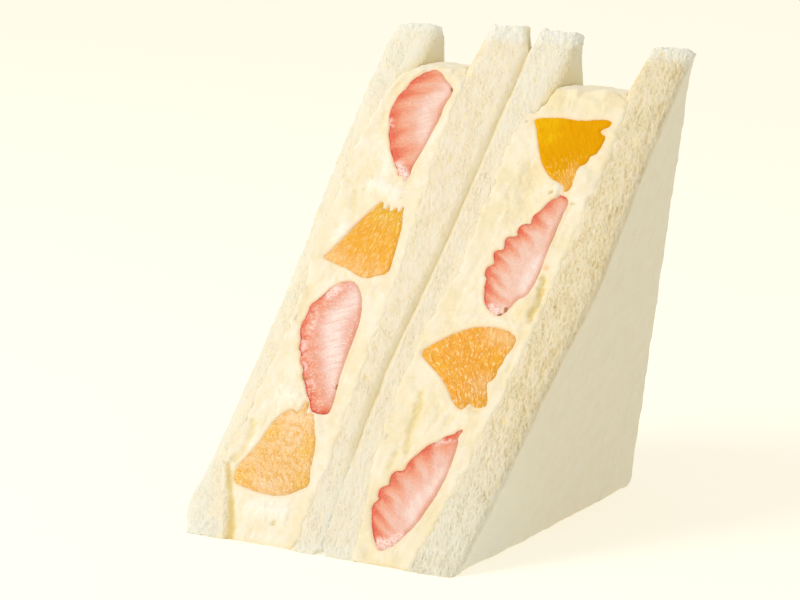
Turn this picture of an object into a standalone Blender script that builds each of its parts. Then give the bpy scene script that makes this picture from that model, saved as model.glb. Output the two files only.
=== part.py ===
"""A custard fruit sandwich, in metres: two crustless triangular halves that stand pressed side by side.

Each half is two slices of trimmed white bread with a layer of custard cream between them. It was cut corner to
corner, and stands on one trimmed side, so that the cut face slants up from the foot at the front to the top at
the back. Two strawberry halves and two peach wedges show in each cut face, let into the cream. Y runs to the
back, Z up, and the origin is under the middle of the sandwich.
"""

import math

import bmesh
import bpy
import numpy as np
from mathutils import Vector

MM = 0.001

# The halves, in millimetres: each trimmed side of a half, how much shorter each slice was trimmed, and how far
# the bread's corners and edges are rounded
LEG = 102.6
TRIMMED = {"bread_1": 1.6, "bread_2": 0.0, "bread_3": 0.0, "bread_4": 0.7}
BREAD_ROUNDING = 1.5
BREAD_EDGE = 1.2

# The thin foot of the cut is worn off a little further on the left half than on the right
FOOT_ROUNDING = {
    "bread_1": 1.4, "bread_2": 1.2, "bread_3": 0.8, "bread_4": 1.0, "cream_left": 1.4, "cream_right": 0.8
}
SLANT = LEG * math.sqrt(2)

# What brings the middle of the rounded sandwich over the origin
TO_MIDDLE = (0.081, -0.34, 0)

# Touching pieces stand this far apart, and the cream ends this far short of the trimmed sides
GAP = 0.3
CREAM_SHORT = 0.5
CREAM_ROUNDING = 3.0

# The net of cuts that lets a flat layer bend, and how near its points may come to each other
NET = LEG / 18
NET_MERGE = 0.5

# How far to the right of the middle each face of a slice lies, in millimetres. The first numbers follow the cut
# face up from its foot: the foot, the four rows of fruit that press the bread thin, and the top. The last is at
# the crust corner, low at the back, where the halves are thinnest.
ROWS = (0, 16, 50, 78, 113, SLANT)
FACES = {
    "bread_1": (
        (-32.5, -33.1, -33.3, -34.5, -36.6, -36.6, -29.5),
        (-23.2, -28.3, -28.0, -30.2, -31.4, -26.4, -18.4),
    ),
    "bread_2": (
        (-6.5, -6.9, -9.0, -10.6, -14.2, -13.6, -13.2),
        (0.3, -1.6, -3.8, -2.9, -3.2, -5.0, -2.2),
    ),
    "bread_3": (
        (0.7, -1.2, -3.4, -2.5, -2.8, -1.6, -1.8),
        (10.0, 6.2, 2.9, 4.9, 4.2, 9.0, 9.4),
    ),
    "bread_4": (
        (20.0, 22.4, 25.0, 26.0, 26.2, 27.3, 16.4),
        (31.5, 32.7, 34.6, 36.5, 35.9, 36.5, 27.7),
    ),
}

# Each cream: the slices it joins, and how high up it stands between them
CREAMS = {
    "cream_left": ("bread_1", "bread_2", 92.0),
    "cream_right": ("bread_3", "bread_4", 90.5),
}

# Strawberry halves, on the cut face: the stem end and the tip, across and up the cut, how far the skin bulges
# to the left of the line between them, and how deep the berry goes. Its flat side bulges a little to the right.
BERRIES = {
    "strawberry_left_upper": {"stem": (-18.2, 129.8), "tip": (-17.2, 96.0), "skin": 11.2, "deep": 10.0},
    "strawberry_left_lower": {"stem": (-17.0, 68.8), "tip": (-12.0, 33.0), "skin": 11.4, "deep": 12.0},
    "strawberry_right_upper": {"stem": (21.2, 65.0), "tip": (22.0, 99.0), "skin": 11.7, "deep": 12.0},
    "strawberry_right_lower": {"stem": (16.6, 4.4), "tip": (20.4, 35.2), "skin": 9.8, "deep": 7.5},
}
BERRY_FLAT = 2.2
BERRY_POINTS = 18

# Peach wedges, on the cut face: the middle of the peach that the wedge came from, across and up the cut, the
# way the wedge lies from it in degrees, and how wide it opens. Then, for its clockwise and its other side, the
# radius at which the skin starts and how far the side bulges out.
PEACHES = {
    "peach_left_upper": {
        "middle": (-17.0, 96.0), "towards": 263, "opening": 41, "skin": (25.3, 25.3), "bulge": (0.4, 0.0)
    },
    "peach_left_lower": {
        "middle": (-15.2, 39.0), "towards": 266.5, "opening": 39, "skin": (27.0, 25.2), "bulge": (1.8, 0.0)
    },
    "peach_right_upper": {
        "middle": (21.8, 96.0), "towards": 104.5, "opening": 41, "skin": (24.4, 27.2), "bulge": (-0.8, 1.2)
    },
    "peach_right_lower": {
        "middle": (23.4, 36.0), "towards": 115, "opening": 48, "skin": (25.0, 25.8), "bulge": (0.0, 0.6)
    },
}
PEACH_CROWN = 0.9
PEACH_STONE = 6.0
PEACH_DEPTH = 12.0
PEACH_POINTS = 9
PEACH_SIDE_POINTS = 5

# The rings that round the back of the fruit, and how far its pocket reaches out of the cream
FRUIT_RINGS = 5
BACK_TURN = math.radians(78)
POCKET_REACH = 3.0

# Colours are linear
MATERIALS = {
    "bread": {"color": (0.90, 0.86, 0.70), "roughness": 0.9},
    "cream": {"color": (0.94, 0.85, 0.58), "roughness": 0.45},
    "strawberry": {"color": (0.82, 0.20, 0.13), "roughness": 0.35},
    "peach": {"color": (0.88, 0.42, 0.06), "roughness": 0.3},
}


def finish_of(name):
    """The material of one kind of food."""
    look = MATERIALS[name]
    material = bpy.data.materials.new(name)
    material.use_nodes = True
    shader = material.node_tree.nodes["Principled BSDF"]
    shader.inputs["Base Color"].default_value = (*look["color"], 1.0)
    shader.inputs["Roughness"].default_value = look["roughness"]
    shader.inputs["Metallic"].default_value = 0.0
    return material


def object_of(name, bm, material):
    """Closes the bmesh into an object whose faces point out, in metres."""
    bmesh.ops.recalc_face_normals(bm, faces=bm.faces)
    bmesh.ops.scale(bm, vec=(MM, MM, MM), verts=bm.verts)
    mesh = bpy.data.meshes.new(name)
    bm.to_mesh(mesh)
    bm.free()
    mesh.materials.append(material)
    mesh.shade_smooth()
    mesh.set_sharp_from_angle(angle=math.radians(40))
    piece = bpy.data.objects.new(name, mesh)
    bpy.context.scene.collection.objects.link(piece)
    return piece


def up_the_cut(values, height):
    """The value at a height up the cut face, on a smooth curve through the rows' values."""
    slopes = np.gradient(values, ROWS)
    row = int(np.clip(np.searchsorted(ROWS, height) - 1, 0, len(ROWS) - 2))
    span = ROWS[row + 1] - ROWS[row]
    t = (height - ROWS[row]) / span
    start = values[row] * (1 + 2 * t) + slopes[row] * span * t
    end = values[row + 1] * (3 - 2 * t) + slopes[row + 1] * span * (t - 1)
    return start * (1 - t) ** 2 + end * t**2


def across(face, y, z):
    """How far right a slice's face lies at (y, z): its line on the cut face, drawn in to its crust corner."""
    *rows, crust_corner = face
    share = (y - z + LEG / 2) / LEG
    if share > 0.999:
        return crust_corner
    height = z / (LEG * (1 - share)) * SLANT
    return (1 - share) * up_the_cut(rows, height) + share * crust_corner


def layer(name, outline, left, right, rounding, material):
    """A layer of the sandwich: an outline in Y and Z from its foot, as thick as the space between two faces."""
    bm = bmesh.new()
    corners = [bm.verts.new((0, y, z)) for y, z in outline]
    bm.faces.new(corners)
    for rounded, offset in ((corners[:1], FOOT_ROUNDING[name]), (corners[1:], rounding)):
        bmesh.ops.bevel(
            bm, geom=rounded, offset=offset, segments=3, profile=0.5, affect="VERTICES", material=-1
        )
    for step in range(1, round(LEG / NET)):
        for place, normal in (((0, step * NET - LEG / 2, 0), (0, 1, 0)), ((0, 0, step * NET), (0, 0, 1))):
            bmesh.ops.bisect_plane(bm, geom=[*bm.verts, *bm.edges, *bm.faces], plane_co=place, plane_no=normal)
    bmesh.ops.remove_doubles(bm, verts=bm.verts, dist=NET_MERGE)
    left_side = bm.verts[:]
    grown = bmesh.ops.extrude_face_region(bm, geom=bm.faces[:])
    right_side = [item for item in grown["geom"] if isinstance(item, bmesh.types.BMVert)]
    for side, face, inward in ((left_side, *left), (right_side, *right)):
        for vert in side:
            vert.co.x = across(face, vert.co.y, vert.co.z) + inward
    return object_of(name, bm, material)


def slice_of_bread(name, material):
    """A trimmed slice: a right triangle with softly rounded edges, pressed thin where fruit lies against it."""
    half = LEG / 2
    short = TRIMMED[name]
    outline = ((-half, 0), (half - short, 0), (half - short, LEG - short))
    left, right = FACES[name]
    piece = layer(name, outline, (left, 0), (right, 0), BREAD_ROUNDING, material)
    edge = piece.modifiers.new("soft edge", "BEVEL")
    edge.width = BREAD_EDGE * MM
    edge.segments = 2
    edge.limit_method = "ANGLE"
    edge.angle_limit = math.radians(60)
    return piece


def cream_between(name, material):
    """The custard cream of one half: it fills the room between its slices and stops short of their tops."""
    first, second, top = CREAMS[name]
    half = LEG / 2
    back = half - CREAM_SHORT
    outline = ((CREAM_SHORT - half, CREAM_SHORT), (back, CREAM_SHORT), (back, top), (top - half, top))
    return layer(
        name, outline, (FACES[first][1], GAP), (FACES[second][0], -GAP), CREAM_ROUNDING, material
    )


def widened(outline, by):
    """The outline with each corner moved out, away from the two sides that meet there."""
    middle = sum(outline, Vector((0, 0))) / len(outline)
    moved = []
    for before, here, after in zip(outline[-1:] + outline[:-1], outline, outline[1:] + outline[:1]):
        out = (after - before).orthogonal().normalized()
        if out.dot(here - middle) < 0:
            out.negate()
        moved.append(here + out * by)
    return moved


def rounded_behind(name, outline, depth, front, material):
    """A piece of fruit: its cut outline, lying in X and Y, with a back that rounds off behind it."""
    middle = sum(outline, Vector((0, 0))) / len(outline)
    bm = bmesh.new()
    rim = bm.faces.new([bm.verts.new((*point, front)) for point in outline]).edges[:]
    width = 1.0
    for ring in range(0 if front else 1, FRUIT_RINGS + 1):
        turn = BACK_TURN * ring / FRUIT_RINGS
        grown = bmesh.ops.extrude_edge_only(bm, edges=rim)["geom"]
        rim = [item for item in grown if isinstance(item, bmesh.types.BMEdge)]
        for vert in (item for item in grown if isinstance(item, bmesh.types.BMVert)):
            point = middle + (vert.co.xy - middle) * math.cos(turn) / width
            vert.co = (*point, -depth * math.sin(turn))
        width = math.cos(turn)
    bmesh.ops.contextual_create(bm, geom=rim)
    return object_of(name, bm, material)


def berry_outline(length, skin, side):
    """A strawberry half cut lengthwise, from its stem end at the origin up to its tip."""
    shares = np.linspace(0, 1, BERRY_POINTS)
    bulge = [math.sin(math.pi * share**0.62) ** 0.8 for share in shares]
    skin_side = [Vector((side * skin * out, share * length)) for share, out in zip(shares, bulge)]
    flat_side = [
        Vector((-side * BERRY_FLAT * math.sin(math.pi * share), share * length)) for share in shares[-3:0:-2]
    ]
    return skin_side + flat_side


def peach_outline(opening, skin, bulge):
    """A peach wedge across its length, between its skin and the side that lay against the stone.

    Its skin lies between the straight line from corner to corner and the round of the peach.
    """
    half = math.radians(opening / 2)
    outline = []
    for angle in np.linspace(half, -half, PEACH_POINTS):
        share = 0.5 - 0.5 * angle / half
        straight = math.cos(half) / math.cos(angle)
        radius = (skin[0] * (1 - share) + skin[1] * share) * (straight + PEACH_CROWN * (1 - straight))
        outline.append(Vector((math.sin(angle), math.cos(angle))) * radius)
    outline += side_of_wedge(-half, skin[1], bulge[1])[::-1]
    outline += [Vector((math.sin(angle), math.cos(angle))) * PEACH_STONE for angle in (-half, 0, half)]
    outline += side_of_wedge(half, skin[0], bulge[0])
    return outline


def side_of_wedge(angle, skin, bulge):
    """Points up one side of a peach wedge, between the stone and the skin."""
    along = Vector((math.sin(angle), math.cos(angle)))
    out = Vector((math.cos(angle), -math.sin(angle))) * (bulge if angle > 0 else -bulge)
    shares = np.arange(1, PEACH_SIDE_POINTS + 1) / (PEACH_SIDE_POINTS + 1)
    return [
        along * (PEACH_STONE + (skin - PEACH_STONE) * share) + out * math.sin(math.pi * share) for share in shares
    ]


def let_in(cream, cut_face, place, turn, outline, depth, name, material):
    """One piece of fruit, set into the cut face, and the pocket that it fills in the cream."""
    fruit = rounded_behind(name, outline, depth, 0, material)
    pocket = rounded_behind(name + "_pocket", widened(outline, GAP), depth + GAP, POCKET_REACH, material)
    for piece in (fruit, pocket):
        piece.parent = cut_face
        piece.location = (place[0] * MM, place[1] * MM, 0)
        piece.rotation_euler.z = turn
    pocket.hide_render = True
    pocket.display_type = "WIRE"
    hollow = cream.modifiers.new(name, "BOOLEAN")
    hollow.operation = "DIFFERENCE"
    hollow.solver = "EXACT"
    hollow.object = pocket


def main():
    for old in list(bpy.data.objects):
        bpy.data.objects.remove(old)
    finishes = {name: finish_of(name) for name in MATERIALS}

    sandwich = bpy.data.objects.new("sandwich", None)
    sandwich.location = Vector(TO_MIDDLE) * MM
    bpy.context.scene.collection.objects.link(sandwich)

    # Its Y axis runs up the cut face, and its Z axis out of it
    cut_face = bpy.data.objects.new("cut_face", None)
    cut_face.parent = sandwich
    cut_face.location = (0, -LEG / 2 * MM, 0)
    cut_face.rotation_euler.x = math.radians(45)
    bpy.context.scene.collection.objects.link(cut_face)

    slices = [slice_of_bread(name, finishes["bread"]) for name in FACES]
    creams = {name: cream_between(name, finishes["cream"]) for name in CREAMS}
    for piece in (*slices, *creams.values()):
        piece.parent = sandwich

    for name, berry in BERRIES.items():
        stem = Vector(berry["stem"])
        along = Vector(berry["tip"]) - stem
        side = -1 if along.y > 0 else 1
        outline = berry_outline(along.length, berry["skin"], side)
        turn = math.atan2(along.y, along.x) - math.pi / 2
        cream = creams["cream_left" if "left" in name else "cream_right"]
        let_in(cream, cut_face, stem, turn, outline, berry["deep"], name, finishes["strawberry"])

    for name, peach in PEACHES.items():
        outline = peach_outline(peach["opening"], peach["skin"], peach["bulge"])
        turn = math.radians(peach["towards"] - 90)
        cream = creams["cream_left" if "left" in name else "cream_right"]
        let_in(cream, cut_face, peach["middle"], turn, outline, PEACH_DEPTH, name, finishes["peach"])


main()
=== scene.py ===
import math

import bmesh
import bpy
import numpy as np
from mathutils import Euler, Matrix, Vector, noise


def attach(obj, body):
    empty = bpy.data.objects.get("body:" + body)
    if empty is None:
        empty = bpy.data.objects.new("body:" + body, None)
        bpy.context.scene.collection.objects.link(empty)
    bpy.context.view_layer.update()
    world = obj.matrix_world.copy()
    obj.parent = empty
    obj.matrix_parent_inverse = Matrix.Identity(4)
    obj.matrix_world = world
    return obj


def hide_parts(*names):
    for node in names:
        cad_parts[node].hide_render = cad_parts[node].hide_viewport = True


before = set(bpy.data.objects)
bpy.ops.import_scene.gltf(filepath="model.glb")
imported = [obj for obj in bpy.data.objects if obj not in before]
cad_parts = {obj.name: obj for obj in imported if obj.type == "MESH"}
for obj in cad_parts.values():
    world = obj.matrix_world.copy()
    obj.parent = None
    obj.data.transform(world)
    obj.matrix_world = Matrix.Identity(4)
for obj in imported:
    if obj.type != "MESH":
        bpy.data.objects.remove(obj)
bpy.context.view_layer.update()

# Bread slices: four slices of white sandwich loaf with the crusts trimmed off. The knife left an open, fluffy
# crumb on the slanting cut face, with pores drawn out along the cut. The flat faces of the loaf are closer
# and smoother, and the thin tips are frayed. Tips and foot get a painted cool light, for light shining
# through the thin crumb.
MM = 0.001

# The cut face is the plane z = y + CUT. Meshes are shaped in its own frame, in millimetres: across to the
# right, up the cut from its foot, and out of it.
CUT = max(vert.co.z - vert.co.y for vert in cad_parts["bread_4"].data.vertices)
CUT_SLANT = math.radians(45)
TO_CUT = Matrix.Scale(1 / MM, 4) @ Matrix.Rotation(-CUT_SLANT, 4, "X") @ Matrix.Translation((0, CUT, 0))
CUT_LENGTH = 145.1
ROW_HIGH = 2.0
SEED_STEP = 31.7

BREAD_NET = 0.7
BREAD_BEVEL = 1.2
TIP = 9.0
TIP_CORNER = 1.1
CUT_PROUD = 0.8

# How far the sides of the slices and the cream move across as the soft tips bow and the foot spreads, by
# height on the cut
FIRST_BORDER = ((120, 0), (127, 1.2), (131, 2.6), (140, 1.7), (145, 1.2))
SECOND_BORDER = ((113, 0), (122, -0.6), (131, -1.2), (141, -0.7), (145, -0.5))
THIRD_BORDER = ((113, 0), (118, 0.6), (124, 1.5), (130, 2.1), (136, 1.3), (142, 0.3))
FOURTH_BORDER = ((113, 0), (122, -0.8), (131, -1.6), (141, -1.2), (145, -0.5))
UNMOVED = ((0, 0), (145, 0))
FIRST_FOOT = ((0, -0.6), (5, -0.9), (10, -1.1), (15, -0.6), (22, 0))

# The line on the cut face where the two middle slices press together, by height. They part at their tips.
# Near the cut each goes a little past it.
CONTACT = ((0, 0.45), (16, -0.85), (26, -1.5), (35, -2.1), (50, -2.6), (78, -1.7), (113, -1.7), (130, -1.7))
OVERLAP = 0.4

# Each slice: the share of its pores that are open, how deep they are and how fluffy it is, the colours of its
# walls and of the painted shade in its pores, the side that the cream lies on and how far the cream is
# smeared over it, how its tip slants, and how strong the painted cool light is towards tip and foot. Then the
# width of the groove along the joint in the middle, or how closed and how soft the free edge is and how far
# its corner on the floor is rounded off.
SLICES = {
    "bread_1": {
        "seed": 1, "open": 0.20, "deep": 0.05, "fluff": 0.07,
        "walls": (0.795, 0.745, 0.615), "pores": (0.79, 0.71, 0.49),
        "cream": 1, "smear": 5.0, "lean": 0.10, "backlight_tip": 0.15, "backlight_foot": 0.3,
        "edge_shut": 0.8, "edge_soft": 0.7, "foot_round": 3.2, "sides": (FIRST_FOOT, FIRST_BORDER),
    },
    "bread_2": {
        "seed": 2, "open": 0.34, "deep": 0.06, "fluff": 0.085,
        "walls": (0.80, 0.725, 0.57), "pores": (0.79, 0.66, 0.40),
        "cream": -1, "smear": 2.4, "lean": 0.08, "backlight_tip": 0.1, "backlight_foot": 0.35,
        "groove": 1.9, "sides": (SECOND_BORDER, UNMOVED),
        "pressed_to": CONTACT + ((137, -1.8), (141, -3.4), (145, -4.6)),
    },
    "bread_3": {
        "seed": 3, "open": 0.34, "deep": 0.06, "fluff": 0.085,
        "walls": (0.80, 0.73, 0.58), "pores": (0.79, 0.66, 0.40),
        "cream": 1, "smear": 3.0, "lean": 0.0, "backlight_tip": 0.35, "backlight_foot": 0.25,
        "groove": 1.1, "sides": (UNMOVED, THIRD_BORDER),
        "pressed_to": CONTACT + ((138, -1.8), (141, -1.5), (145, -1.2)),
    },
    "bread_4": {
        "seed": 4, "open": 0.85, "deep": 0.23, "fluff": 0.08,
        "walls": (0.765, 0.675, 0.49), "pores": (0.72, 0.59, 0.32),
        "cream": -1, "smear": 2.6, "lean": 0.04, "backlight_tip": 0.05, "backlight_foot": 0.55,
        "edge_shut": 0.25, "edge_soft": 1.1, "foot_round": 0.8, "sides": (FOURTH_BORDER, UNMOVED),
    },
}

# The loaf rose at a slant to the cut, so its pores lean to the left as they go up
PORE_LEAN = math.radians(17)


def copy_of(node):
    """The CAD node's mesh in the frame of the cut face, with its loose triangles merged."""
    bm = bmesh.new()
    bm.from_mesh(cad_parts[node].data)
    bmesh.ops.remove_doubles(bm, verts=bm.verts, dist=1e-6)
    bm.transform(TO_CUT)
    return bm


def evenly_netted(name, bm, net, at_cut, cuts=1):
    """An object with an even net over the shape, made finer down to a depth behind the cut face."""
    mesh = bpy.data.meshes.new(name)
    bm.to_mesh(mesh)
    bm.free()
    piece = bpy.data.objects.new(name, mesh)
    bpy.context.scene.collection.objects.link(piece)
    remesh = piece.modifiers.new("even net", "REMESH")
    remesh.mode = "VOXEL"
    remesh.voxel_size = net
    mesh = bpy.data.meshes.new_from_object(piece.evaluated_get(bpy.context.evaluated_depsgraph_get()))
    piece.modifiers.clear()
    piece.data = mesh
    mesh.name = name
    bm = bmesh.new()
    bm.from_mesh(mesh)
    for _ in range(cuts):
        near = [edge for edge in bm.edges if min(vert.co.z for vert in edge.verts) > -at_cut]
        bmesh.ops.subdivide_edges(bm, edges=near, cuts=1, use_grid_fill=True)
    bm.to_mesh(mesh)
    bm.free()
    return piece


def places_of(mesh):
    """The vertices' places and normals as arrays."""
    places = np.empty(len(mesh.vertices) * 3)
    normals = np.empty(len(mesh.vertices) * 3)
    mesh.vertices.foreach_get("co", places)
    mesh.vertices.foreach_get("normal", normals)
    return places.reshape(-1, 3), normals.reshape(-1, 3)


def put(mesh, places):
    mesh.vertices.foreach_set("co", places.ravel())
    mesh.update()


def keep_on(mesh, name, values):
    """Keeps a number for each vertex as an attribute that a material reads."""
    mesh.attributes.new(name, "FLOAT", "POINT").data.foreach_set("value", values)


def ramp(values, start, end):
    """Rises smoothly from 0 at start to 1 at end."""
    t = np.clip((values - start) / (end - start), 0, 1)
    return t * t * (3 - 2 * t)


def waves(places, size, seed=0, octaves=2):
    """Smooth noise, about -1 to 1, whose waves measure size in millimetres."""
    return np.array([noise.fractal(Vector(p), 0.8, 2.0, octaves) for p in places / size + SEED_STEP * seed])


def leaning(places):
    """The places turned so that their second number runs along the loaf's pores."""
    turn = Matrix.Rotation(-PORE_LEAN, 3, "Z")
    return places @ np.array(turn).T


def open_cells(places, size, seed, share):
    """How far each place is inside an open pore, 0 at its wall to 1. The pores are a foam of cells, of which
    a share are open, some more than others."""
    inside, opened = np.zeros(len(places)), np.zeros(len(places))
    for i, place in enumerate(leaning(places) / size + SEED_STEP * seed):
        distances, points = noise.voronoi(Vector(place))
        closed = (0.5 + 0.5 * noise.cell(points[0] * 53.1)) / share
        if closed < 1:
            inside[i] = min(1.0, (distances[1] - distances[0]) / 0.4)
            opened[i] = 1 - closed * closed
    return opened * inside * inside * (3 - 2 * inside)


def edge_of_cut(places, side):
    """Where the cut face ends on one side, at the height of each place."""
    front = places[places[:, 2] > -0.6]
    rows = np.arange(1.0, CUT_LENGTH, ROW_HIGH)
    row = np.clip(np.round((front[:, 1] - 1) / ROW_HIGH).astype(int), 0, len(rows) - 1)
    ends = np.full(len(rows), -np.inf)
    np.maximum.at(ends, row, side * front[:, 0])
    known = ends > -np.inf
    return side * np.interp(places[:, 1], rows[known], ends[known])


def near_side(places, side):
    """Where the cut face ends on one side, and how near each place is to that side."""
    edge = edge_of_cut(places, side)
    return edge, ramp(side * (places[:, 0] - edge), -4.0, -0.3)


def move_side(places, side, shifts):
    """Moves one side of a layer across, by what the heights and shifts say."""
    _, near = near_side(places, side)
    places[:, 0] += near * np.interp(places[:, 1], *zip(*shifts))


def press_to(places, side, line):
    """Moves one side of a slice to a line on the cut face, and near the cut a little past it."""
    edge, near = near_side(places, side)
    past = side * OVERLAP * ramp(places[:, 2], -4.0, -1.5) * ramp(places[:, 1], 139, 134)
    places[:, 0] += near * (np.interp(places[:, 1], *zip(*line)) - edge + past)


def distance_to(places, points):
    """How far each place lies from a line through points on the cut face, in millimetres."""
    flat = places[:, :2]
    points = np.array(points, float)
    if len(points) == 1:
        return np.hypot(*(flat - points[0]).T)
    nearest = np.full(len(flat), np.inf)
    for start, end in zip(points[:-1], points[1:]):
        along = end - start
        share = np.clip((flat - start) @ along / (along @ along), 0, 1)
        nearest = np.minimum(nearest, np.hypot(*(flat - start - share[:, None] * along).T))
    return nearest


def back_in_place(piece, material, node):
    """Brings a shaped piece back to the frame in metres, on the floor, to stand for its CAD node."""
    piece.data.transform(TO_CUT.inverted())
    places, _ = places_of(piece.data)
    places[:, 2] = np.maximum(places[:, 2], 0)
    put(piece.data, places)
    piece.data.materials.clear()
    piece.data.materials.append(material)
    piece.data.shade_smooth()
    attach(piece, "root")
    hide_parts(node)


def add_node(tree, kind, inputs, **settings):
    """Adds a shader node. Each input is a number, a colour or the socket that feeds it."""
    made = tree.nodes.new("ShaderNode" + kind)
    for key, value in settings.items():
        setattr(made, key, value)
    for key, value in inputs.items():
        if isinstance(value, bpy.types.NodeSocket):
            tree.links.new(value, made.inputs[key])
        else:
            made.inputs[key].default_value = value
    return made


def mixed(tree, share, first, second):
    """A colour between two, as far along as the share says. A colour may be three numbers."""
    inputs = {0: share}
    for key, colour in ((6, first), (7, second)):
        inputs[key] = (*colour, 1.0) if isinstance(colour, tuple) else colour
    return add_node(tree, "Mix", inputs, data_type="RGBA").outputs[2]


def maths(tree, operation, first, second=0.0):
    return add_node(tree, "Math", {0: first, 1: second}, operation=operation).outputs[0]


def between(tree, value, low, high, low_out=0.0, high_out=1.0):
    """The value, brought from one range to another and held inside it."""
    inputs = {"Value": value, "From Min": low, "From Max": high, "To Min": low_out, "To Max": high_out}
    return add_node(tree, "MapRange", inputs, interpolation_type="SMOOTHSTEP").outputs["Result"]


def along_cut(tree, size, lean=0.0):
    """Object coordinates turned to the cut face, in units of a lump's size in millimetres."""
    here = add_node(tree, "TexCoord", {}).outputs["Object"]
    turn = (Matrix.Rotation(CUT_SLANT, 3, "X") @ Matrix.Rotation(lean, 3, "Z")).to_euler()
    inputs = {"Vector": here, "Rotation": turn, "Scale": [length * MM for length in size]}
    return add_node(tree, "Mapping", inputs, vector_type="TEXTURE").outputs["Vector"]


def attribute(tree, name):
    return add_node(tree, "Attribute", {}, attribute_name=name).outputs["Fac"]


def tinted(tree, colour, tints):
    """The colour, turned to each tint as far as the attribute of that name says."""
    for name, tint in tints.items():
        colour = mixed(tree, attribute(tree, name), colour, tint)
    return colour


def new_material(name, roughness, specular, glow, glow_radius):
    """A food: a plain Principled shader whose flesh lets light through a little."""
    material = bpy.data.materials.new(name)
    material.use_nodes = True
    shader = material.node_tree.nodes["Principled BSDF"]
    shader.inputs["Roughness"].default_value = roughness
    shader.inputs["Specular IOR Level"].default_value = specular
    shader.inputs["Subsurface Weight"].default_value = glow
    shader.inputs["Subsurface Radius"].default_value = glow_radius
    shader.inputs["Subsurface Scale"].default_value = MM
    return material, material.node_tree, shader


def coat(tree, shader, colour, height, strength, deep):
    """Gives a shader its colour and its bump, whose depth is in millimetres."""
    tree.links.new(colour, shader.inputs["Base Color"])
    bump = add_node(tree, "Bump", {"Strength": strength, "Distance": deep * MM, "Height": height})
    tree.links.new(bump.outputs["Normal"], shader.inputs["Normal"])


def mottling_group():
    """Soft patches and a fine grain: shared by the crumb, the cream and the fruit."""
    group = bpy.data.node_groups.new("mottling", "ShaderNodeTree")
    group.interface.new_socket("Vector", in_out="INPUT", socket_type="NodeSocketVector")
    group.interface.new_socket("Grain", in_out="INPUT", socket_type="NodeSocketFloat")
    group.interface.new_socket("Patches", in_out="OUTPUT", socket_type="NodeSocketFloat")
    group.interface.new_socket("Grain", in_out="OUTPUT", socket_type="NodeSocketFloat")
    given = group.nodes.new("NodeGroupInput")
    result = group.nodes.new("NodeGroupOutput")
    patches = add_node(group, "TexNoise", {"Vector": given.outputs["Vector"], "Scale": 1.0, "Detail": 3.0})
    grain = add_node(
        group, "TexNoise", {"Vector": given.outputs["Vector"], "Scale": given.outputs["Grain"], "Detail": 4.0}
    )
    group.links.new(patches.outputs["Fac"], result.inputs["Patches"])
    group.links.new(grain.outputs["Fac"], result.inputs["Grain"])
    return group


MOTTLING = mottling_group()


def mottled(tree, vector, grain):
    made = add_node(tree, "Group", {}, node_tree=MOTTLING)
    tree.links.new(vector, made.inputs["Vector"])
    made.inputs["Grain"].default_value = grain
    return made.outputs["Patches"], made.outputs["Grain"]


CRUMB_OUTSIDE = (0.765, 0.72, 0.57)
CRUMB_PATCHES = (0.735, 0.665, 0.47)
# Painted shade for the furrow at the first slice's foot and the groove between the middle slices
FURROW_SHADE = (0.70, 0.53, 0.20)
# Tints: painted cool light, smeared cream, painted shade with olive streaks, and painted shade in the furrows
CRUMB_TINTS = {
    "cool_backlight": (0.78, 0.78, 0.69),
    "creamy": (0.85, 0.75, 0.54),
    "shade_and_streaks": (0.87, 0.73, 0.375),
    "furrow": FURROW_SHADE,
}


def crumb_material(name, walls, pore_shade):
    """The crumb of one slice: open on the cut, closed outside, smeared with cream, with painted light and
    shade.
    """
    material, tree, shader = new_material(name, 0.9, 0.1, 0.5, (0.3, 0.25, 0.19))
    patches, grain = mottled(tree, along_cut(tree, (2.2, 5.0, 2.2), PORE_LEAN), 5.0)
    cut_open = attribute(tree, "open_crumb")
    pore = attribute(tree, "pore")
    # Fine pores too small for the mesh: a bump, and a little painted shade
    fine = add_node(tree, "TexVoronoi", {"Vector": along_cut(tree, (0.4, 1.0, 0.4), PORE_LEAN), "Scale": 1.0})
    fine_pores = between(tree, fine.outputs["Distance"], 0.1, 0.5, 1.0, 0.0)
    fine_pores = maths(tree, "MULTIPLY", fine_pores, between(tree, patches, 0.42, 0.62))
    inside = mixed(tree, between(tree, patches, 0.35, 0.65, 0.0, 0.3), walls, pore_shade)
    outside = mixed(tree, between(tree, patches, 0.35, 0.7, 0.0, 0.4), CRUMB_OUTSIDE, CRUMB_PATCHES)
    colour = mixed(tree, cut_open, outside, inside)
    share = maths(tree, "ADD", maths(tree, "MULTIPLY", pore, 0.75), maths(tree, "MULTIPLY", fine_pores, 0.2))
    colour = tinted(tree, mixed(tree, share, colour, pore_shade), CRUMB_TINTS)
    height = maths(tree, "SUBTRACT", grain, maths(tree, "MULTIPLY", fine_pores, cut_open))
    coat(tree, shader, colour, height, 0.55, 0.3)
    return material


def squared_edge(places, normals, side):
    """How far the rounded edge beside the cut face goes out sideways to be square again."""
    depth = np.clip(-places[:, 2], 0, BREAD_BEVEL)
    rounding = BREAD_BEVEL - np.sqrt(BREAD_BEVEL**2 - (BREAD_BEVEL - depth) ** 2)
    return side * rounding * ramp(side * normals[:, 0], 0.05, 0.5)


# The first slice is wider at its foot than the flat press of the cream makes it, with a furrow beside the
# cream. The outer corners of the two outer slices are rounded off up to a height over the floor.
FOOT_SHIFT = 2.0
FOOT_FURROW = (
    (-28.8, 18.8), (-27.6, 16.5), (-25.9, 13.0), (-24.4, 10.0), (-23.0, 6.8), (-21.6, 3.4), (-20.4, 0.0),
)
FOOT_HIGH = 5.0

# The soft foot of each slice and of the cream spreads forward to a full edge on the floor, which dips where
# the two middle slices meet
FOOT_EDGE = 1.0
FOOT_DIP = 1.8


def at_left_foot(places):
    """How far the border between the first slice and the cream moves right near the foot."""
    x, y = places[:, 0], places[:, 1]
    return FOOT_SHIFT * ramp(y, 15, 2) * ramp(x, -31, -26) * ramp(x, -14, -19)


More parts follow.
